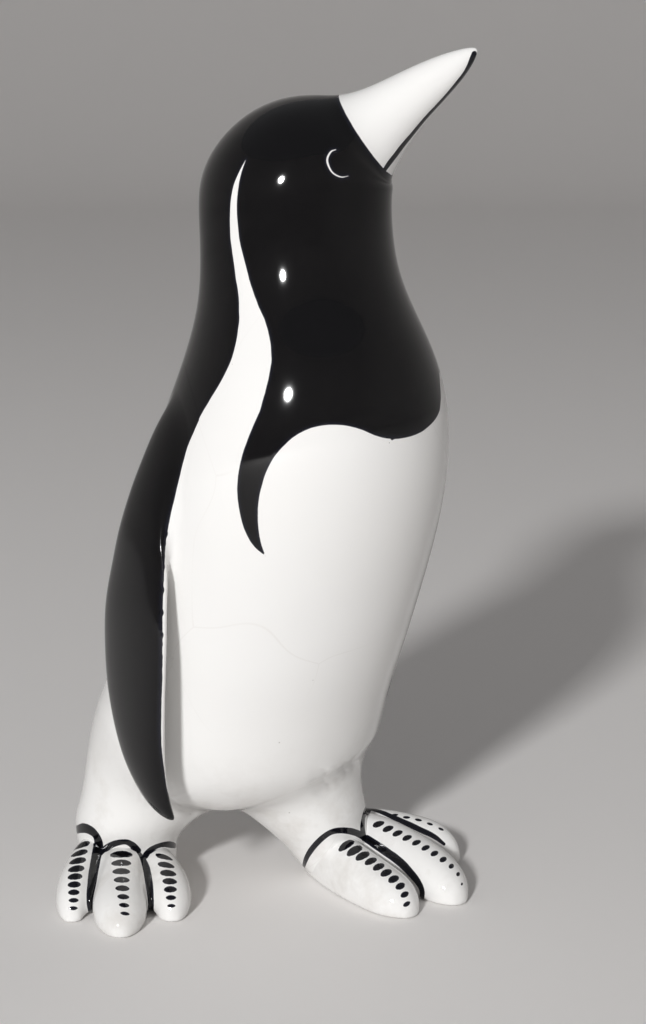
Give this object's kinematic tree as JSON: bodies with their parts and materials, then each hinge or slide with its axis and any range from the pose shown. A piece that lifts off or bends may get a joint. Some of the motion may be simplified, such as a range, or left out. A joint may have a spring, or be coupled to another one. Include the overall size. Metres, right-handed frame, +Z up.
{
  "type": "penguin figurine",
  "caption": "standing glazed ceramic penguin, striding with its head turned and beak raised, flippers hanging clear of the flanks and webless three-lobed feet",
  "frame": {"origin": "on the floor plane under the middle of the whole outline", "axes": "+Z up from the soles to the beak's tip, -Y the way the trunk faces, -X the bird's right side"},
  "size_m": [0.0968, 0.1095, 0.1995],
  "materials": {
    "white_glaze": "warm white earthenware under a thick clear glossy glaze",
    "black_glaze": "hand-painted black under the same clear glossy glaze"
  },
  "bodies": {
    "root": {"trunk_shell": "white_glaze", "head_shell": "black_glaze", "beak": "white_glaze", "right_flipper": "black_glaze", "left_flipper": "black_glaze", "right_foot": "white_glaze", "left_foot": "white_glaze", "tail": "black_glaze"}
  },
  "joints": []
}
